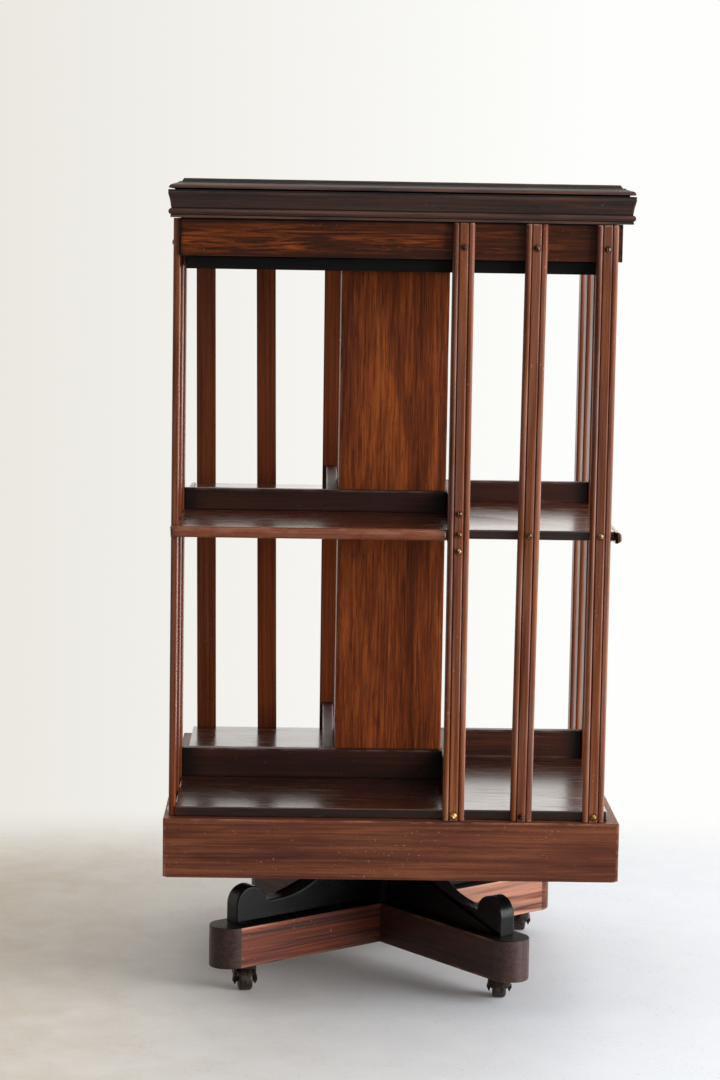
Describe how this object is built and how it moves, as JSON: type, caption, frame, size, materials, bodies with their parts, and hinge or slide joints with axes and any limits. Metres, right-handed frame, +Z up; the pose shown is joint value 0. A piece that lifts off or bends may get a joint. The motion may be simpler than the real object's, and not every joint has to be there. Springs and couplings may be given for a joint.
{
  "type": "revolving bookcase",
  "caption": "Square slatted bookcase with two tiers of books on each face, turning on a centre post in a cross of beams on casters.",
  "frame": {"origin": "on the floor under the turning axis, at the centre of the square case", "axes": "+Z up along the turning axis; the front face looks towards -Y, with its open half on the -X side"},
  "size_m": [0.48, 0.48, 0.8809],
  "materials": {
    "beam_wood": "stained softwood, satin, strong stripes",
    "post_wood": "plain turned wood",
    "ebonised_wood": "satin black",
    "shelf_wood": "dark mahogany, polished",
    "dark_wood": "very dark mahogany, satin",
    "top_wood": "dark worn mahogany",
    "nosing_wood": "red-brown mahogany, polished",
    "plinth_wood": "red-brown mahogany, scratched",
    "column_wood": "orange-brown mahogany, satin",
    "frieze_wood": "red-brown mahogany, satin",
    "slat_wood": "mid-brown mahogany, reeded",
    "steel": "plain steel",
    "iron": "black iron",
    "caster_metal": "dark bronzed metal",
    "wheel_iron": "dark worn iron",
    "bush_brass": "dull brass",
    "screw_brass": "bronzed brass"
  },
  "bodies": {
    "base": {"beam_lower": "beam_wood", "beam_upper": "beam_wood", "post": "post_wood", "pivot_pin": "steel", "caster_plates": "caster_metal", "bracket_screws": "steel", "bracket_front_left": "ebonised_wood", "bracket_front_right": "ebonised_wood", "bracket_back_right": "ebonised_wood", "bracket_back_left": "ebonised_wood"},
    "caster_front_left": {"caster_fork_front_left": "caster_metal"},
    "wheel_front_left": {"caster_wheel_front_left": "wheel_iron"},
    "caster_front_right": {"caster_fork_front_right": "caster_metal"},
    "wheel_front_right": {"caster_wheel_front_right": "wheel_iron"},
    "caster_back_right": {"caster_fork_back_right": "caster_metal"},
    "wheel_back_right": {"caster_wheel_back_right": "wheel_iron"},
    "caster_back_left": {"caster_fork_back_left": "caster_metal"},
    "wheel_back_left": {"caster_wheel_back_left": "wheel_iron"},
    "case": {"bottom_shelf": "shelf_wood", "middle_shelf": "shelf_wood", "ceiling_board": "dark_wood", "top_board": "top_wood", "collar_bush": "bush_brass", "pivot_socket": "iron", "plate_screws": "steel", "slat_screws": "screw_brass", "lower_stops": "dark_wood", "upper_stops": "dark_wood", "shelf_bearers": "dark_wood", "shelf_nosings": "nosing_wood", "plinth_front": "plinth_wood", "column_front": "column_wood", "frieze_front": "frieze_wood", "cornice_front": "top_wood", "slat_front_1": "slat_wood", "slat_front_2": "slat_wood", "slat_front_3": "slat_wood", "plinth_right": "plinth_wood", "column_right": "column_wood", "frieze_right": "frieze_wood", "cornice_right": "top_wood", "slat_right_1": "slat_wood", "slat_right_2": "slat_wood", "slat_right_3": "slat_wood", "plinth_back": "plinth_wood", "column_back": "column_wood", "frieze_back": "frieze_wood", "cornice_back": "top_wood", "slat_back_1": "slat_wood", "slat_back_2": "slat_wood", "slat_back_3": "slat_wood", "plinth_left": "plinth_wood", "column_left": "column_wood", "frieze_left": "frieze_wood", "cornice_left": "top_wood", "slat_left_1": "slat_wood", "slat_left_2": "slat_wood", "slat_left_3": "slat_wood"}
  },
  "joints": [
    {"name": "case_turn", "type": "hinge", "parent": "base", "child": "case", "pos_m": [0, 0, 0.7884], "axis": [0, 0, 1], "continuous": true},
    {"name": "swivel_front_left", "type": "hinge", "parent": "base", "child": "caster_front_left", "pos_m": [-0.15629, -0.11993, 0.0252], "axis": [0, 0, 1], "continuous": true},
    {"name": "roll_front_left", "type": "hinge", "parent": "caster_front_left", "child": "wheel_front_left", "pos_m": [-0.15421, -0.13174, 0.012], "axis": [0.9848, 0.1736, 0], "continuous": true},
    {"name": "swivel_front_right", "type": "hinge", "parent": "base", "child": "caster_front_right", "pos_m": [0.12297, -0.16026, 0.0252], "axis": [0, 0, 1], "continuous": true},
    {"name": "roll_front_right", "type": "hinge", "parent": "caster_front_right", "child": "wheel_front_right", "pos_m": [0.12402, -0.1483, 0.012], "axis": [-0.9962, 0.0872, 0], "continuous": true},
    {"name": "swivel_back_right", "type": "hinge", "parent": "base", "child": "caster_back_right", "pos_m": [0.16502, 0.12662, 0.0252], "axis": [0, 0, 1], "continuous": true},
    {"name": "roll_back_right", "type": "hinge", "parent": "caster_back_right", "child": "wheel_back_right", "pos_m": [0.1671, 0.13844, 0.012], "axis": [-0.9848, 0.1736, 0], "continuous": true},
    {"name": "swivel_back_left", "type": "hinge", "parent": "base", "child": "caster_back_left", "pos_m": [-0.12358, 0.16105, 0.0252], "axis": [0, 0, 1], "continuous": true},
    {"name": "roll_back_left", "type": "hinge", "parent": "caster_back_left", "child": "wheel_back_left", "pos_m": [-0.12958, 0.17144, 0.012], "axis": [-0.866, -0.5, 0], "continuous": true}
  ]
}
